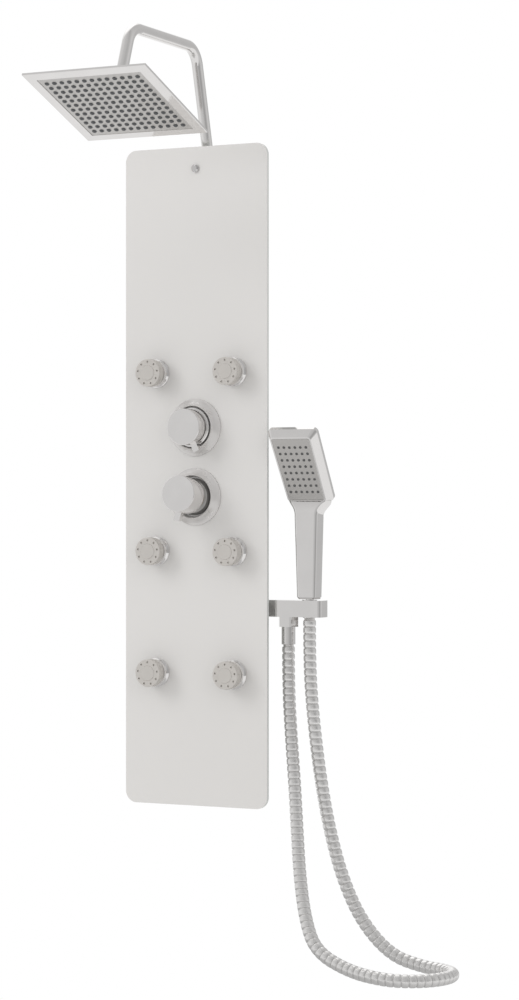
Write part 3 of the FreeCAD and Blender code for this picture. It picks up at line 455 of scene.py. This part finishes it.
def turned_ring(name, centre, outline, slot, sides=96):
    """A ring turned about the line through centre along Y. outline: (radius, y) pairs round its section."""
    vertices, faces = [], []
    for k in range(sides):
        angle = 2 * math.pi * k / sides
        for radius, y in outline:
            vertices.append((centre[0] + radius * math.cos(angle), y, centre[1] + radius * math.sin(angle)))
    count = len(outline)
    for k in range(sides):
        here, after = k * count, (k + 1) % sides * count
        for i in range(count):
            j = (i + 1) % count
            faces.append((here + i, here + j, after + j, after + i))
    return mesh_piece(name, vertices, faces, slot)


diverter_collar = turned_ring("diverter_collar", (0, DIVERTER_LEVEL), [
    (0.0268, -0.0722), (0.0268, -0.0748), (0.0283, -0.0751), (0.0295, -0.0746), (0.0299, -0.0736),
    (0.0297, -0.0724), (0.0290, -0.0720)], "chrome")
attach(diverter_collar, "diverter")

# ---------------------------------------------------------------- edges of the carried-over pieces

for name, width in {"glass_panel": 0.0008, "handset_bracket": 0.0009, "head_shell": 0.0004,
                    "head_face_plate": 0.0003, "hose_nut": 0.0006, "head_union_nut": 0.0006,
                    "back_housing": 0.0005, "wall_bracket_upper": 0.0004, "wall_bracket_lower": 0.0004,
                    "hanger_hooks": 0.0004}.items():
    soften_edges(nodes[name], width)

# ---------------------------------------------------------------- studio


SOFTBOX_DIRECTION = (-0.45, 0.35, 0.82)
FLOOR_HEIGHT = -0.82
FLOOR_HALF = 3


def world_light():
    """White to the camera. Polish sees bands round the horizon, a softbox overhead and a greyer ceiling."""
    world = bpy.data.worlds.new("studio")
    bpy.context.scene.world = world
    world.use_nodes = True
    tree = world.node_tree
    tree.nodes.clear()
    direction = node(tree, "ShaderNodeTexCoord").outputs["Generated"]
    parts = node(tree, "ShaderNodeSeparateXYZ", {"Vector": direction})
    height = map_range(tree, parts.outputs["Z"], -1.0, 1.0)
    rise = ramp(tree, height.outputs[0], [(0.0, grey(0.86)), (0.40, grey(0.86)), (0.50, grey(0.72)),
                                          (0.62, grey(0.70)), (0.80, grey(0.60)), (1.0, grey(0.55))])
    azimuth = node(tree, "ShaderNodeMath", {0: parts.outputs["X"], 1: parts.outputs["Y"]},
                   operation="ARCTAN2")
    around = map_range(tree, azimuth.outputs[0], -math.pi, math.pi)
    bands = ramp(tree, around.outputs[0], [
        (0.0, grey(0.62)), (0.04, grey(0.62)), (0.07, grey(0.715)), (0.10, grey(0.76)), (0.17, grey(0.88)),
        (0.24, grey(0.78)), (0.31, grey(0.80)), (0.36, grey(0.84)), (0.40, grey(0.98)), (0.45, grey(0.98)),
        (0.49, grey(0.57)), (0.60, grey(0.57)), (0.68, grey(0.70)), (0.75, grey(0.60)), (0.80, grey(0.42)),
        (0.86, grey(0.40)), (0.92, grey(0.52)), (1.0, grey(0.62))])
    off_horizon = node(tree, "ShaderNodeMath", {0: parts.outputs["Z"]}, operation="ABSOLUTE")
    share = map_range(tree, off_horizon.outputs[0], 0.22, 0.62, 0.0, 0.6)
    mixed = node(tree, "ShaderNodeMix", {0: share.outputs[0], 6: bands.outputs[0], 7: rise.outputs[0]},
                 data_type="RGBA")
    nearness = node(tree, "ShaderNodeVectorMath", {0: direction, 1: SOFTBOX_DIRECTION},
                    operation="DOT_PRODUCT")
    softbox = map_range(tree, nearness.outputs["Value"], 0.80, 0.95, 1.0, 1.9)
    ray = node(tree, "ShaderNodeLightPath")
    seen = node(tree, "ShaderNodeBackground", {"Color": (1, 1, 1, 1), "Strength": 1.0})
    glossy = node(tree, "ShaderNodeBackground", {"Color": mixed.outputs[2], "Strength": softbox.outputs[0]})
    overhead = map_range(tree, parts.outputs["Z"], -1.0, 1.0, 0.50, 0.90)
    soft = node(tree, "ShaderNodeBackground", {"Color": (1, 0.99, 0.98, 1), "Strength": overhead.outputs[0]})
    object_light = node(tree, "ShaderNodeMixShader", {0: ray.outputs["Is Glossy Ray"], 1: soft.outputs[0],
                                                      2: glossy.outputs[0]})
    out = node(tree, "ShaderNodeMixShader", {0: ray.outputs["Is Camera Ray"], 1: object_light.outputs[0],
                                             2: seen.outputs[0]})
    node(tree, "ShaderNodeOutputWorld", {"Surface": out.outputs[0]})


world_light()


def area_light(name, place, target, size, power):
    data = bpy.data.lights.new(name, "AREA")
    data.shape = "RECTANGLE"
    data.size, data.size_y = size
    data.energy = power
    lamp = bpy.data.objects.new(name, data)
    lamp.location = place
    lamp.rotation_euler = (Vector(target) - Vector(place)).to_track_quat("-Z", "Y").to_euler()
    lamp.visible_glossy = False
    bpy.context.collection.objects.link(lamp)


area_light("key", (-2.2, -2.8, 1.8), (0, 0, 0), (1.6, 2.4), 35)
area_light("fill", (2.6, -2.2, 0.6), (0, 0, 0), (1.4, 2.4), 8)


def studio_floor():
    """White to the camera, matte to the light that it bounces, and to polish a glowing floor with a painted
    shadow under the object.
    """
    material, tree = new_material("studio_floor")
    ray = node(tree, "ShaderNodeLightPath")
    matte = node(tree, "ShaderNodeBsdfDiffuse", {"Color": (0.82, 0.82, 0.81, 1)})
    coordinates = node(tree, "ShaderNodeTexCoord").outputs["Object"]
    away = node(tree, "ShaderNodeVectorMath", {0: coordinates, 1: (1, 1, 0)}, operation="MULTIPLY")
    distance = node(tree, "ShaderNodeVectorMath", {0: away.outputs[0]}, operation="LENGTH")
    # Painted shadow: the floor as polish sees it glows, darker close under the object.
    span = map_range(tree, distance.outputs["Value"], 0.0, 2.0)
    shadow = ramp(tree, span.outputs[0], [(0.0, grey(0.50)), (0.20, grey(0.56)), (0.36, grey(0.90))])
    mirrored = node(tree, "ShaderNodeEmission", {"Color": shadow.outputs[0], "Strength": 1.0})
    white = node(tree, "ShaderNodeEmission", {"Color": (1, 1, 1, 1), "Strength": 1.0})
    indirect = node(tree, "ShaderNodeMixShader", {0: ray.outputs["Is Glossy Ray"], 1: matte.outputs[0],
                                                  2: mirrored.outputs[0]})
    mixed = node(tree, "ShaderNodeMixShader", {0: ray.outputs["Is Camera Ray"], 1: indirect.outputs[0],
                                               2: white.outputs[0]})
    finish_material(tree, mixed)
    corners = ((-1, -1), (1, -1), (1, 1), (-1, 1))
    mesh = bpy.data.meshes.new("studio_floor")
    mesh.from_pydata([(x * FLOOR_HALF, y * FLOOR_HALF, FLOOR_HEIGHT) for x, y in corners], [], [(0, 1, 2, 3)])
    floor = bpy.data.objects.new("studio_floor", mesh)
    bpy.context.collection.objects.link(floor)
    mesh.materials.append(material)


studio_floor()
bpy.context.scene.view_settings.view_transform = "Standard"
